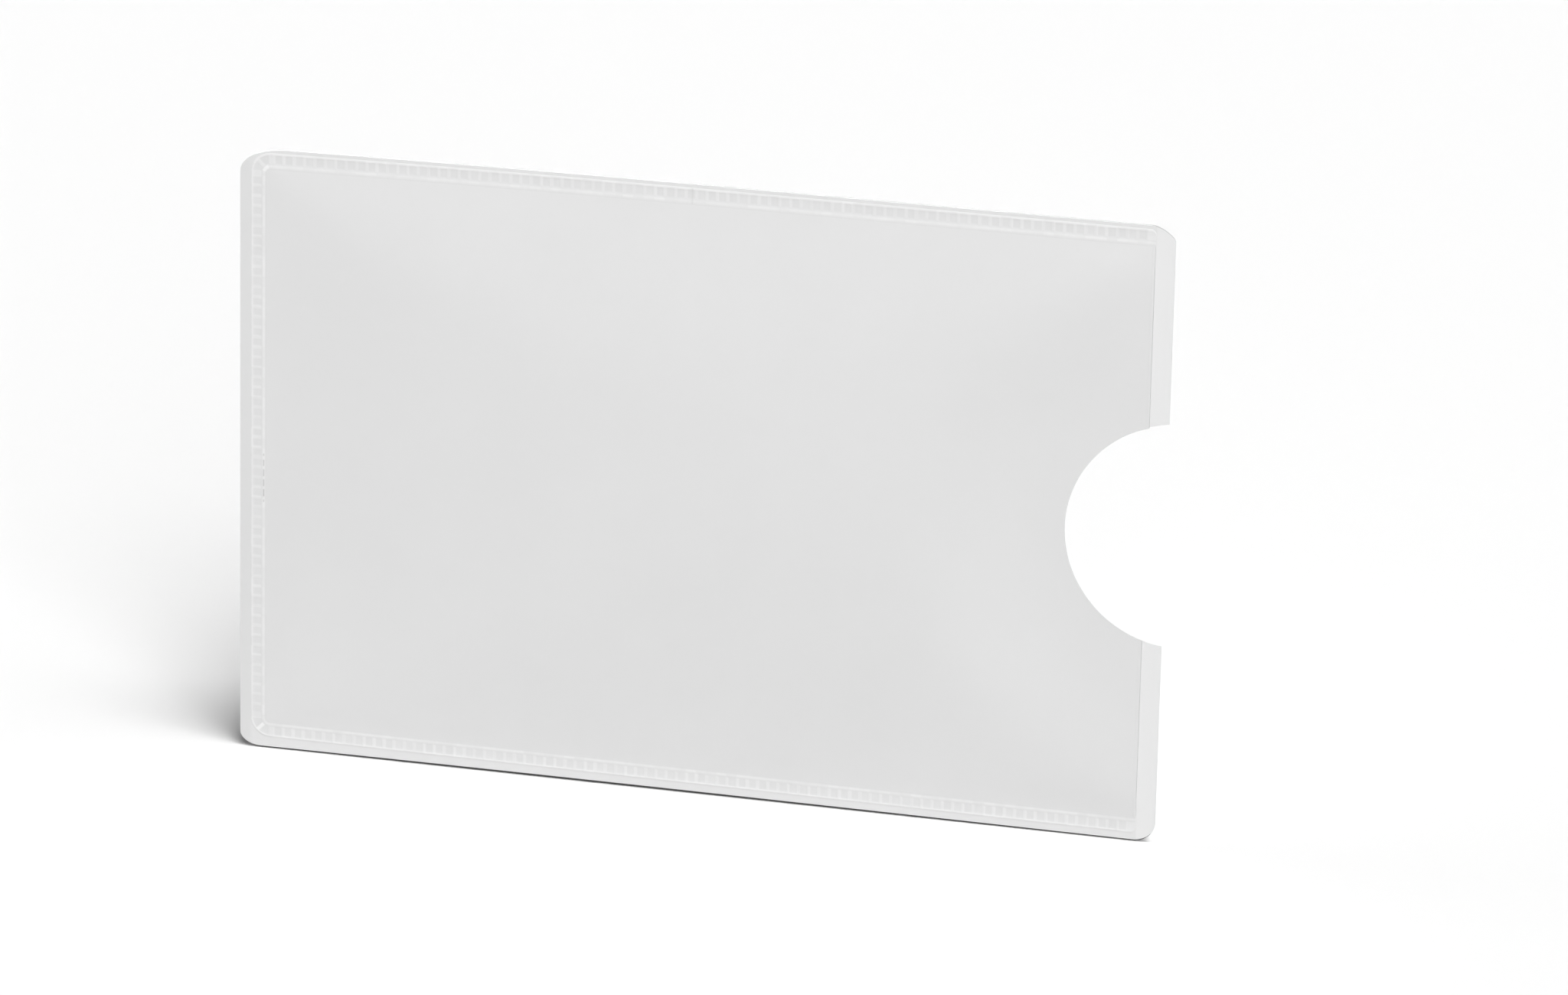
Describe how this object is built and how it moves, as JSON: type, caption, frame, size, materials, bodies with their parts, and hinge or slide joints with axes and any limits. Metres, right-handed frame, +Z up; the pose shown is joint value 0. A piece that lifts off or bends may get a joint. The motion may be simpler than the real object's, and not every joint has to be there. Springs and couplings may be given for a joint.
{
  "type": "rfid card sleeve",
  "caption": "Flat frosted film sleeve for one bank card, ladder-welded on three sides, with an open mouth, a thumb notch and shield foils that keep the card from being read.",
  "frame": {"origin": "under the middle of the sleeve, on the surface it stands on", "axes": "+X along the length to the open mouth, -Y out of the front face, +Z up"},
  "size_m": [0.09, 0.0014, 0.06],
  "materials": {
    "rear_film": "frosted translucent polypropylene film",
    "front_film": "frosted translucent polypropylene film",
    "weld": "fused film with a pressed ladder",
    "shield_foil": "dull rolled foil",
    "liner_film": "clear slip film"
  },
  "bodies": {
    "root": {"rear_sheet": "rear_film", "rear_shield_foil": "shield_foil", "rear_liner_film": "liner_film", "front_liner_film": "liner_film", "front_shield_foil": "shield_foil", "front_panel": "front_film", "weld_seam": "weld"}
  },
  "joints": []
}
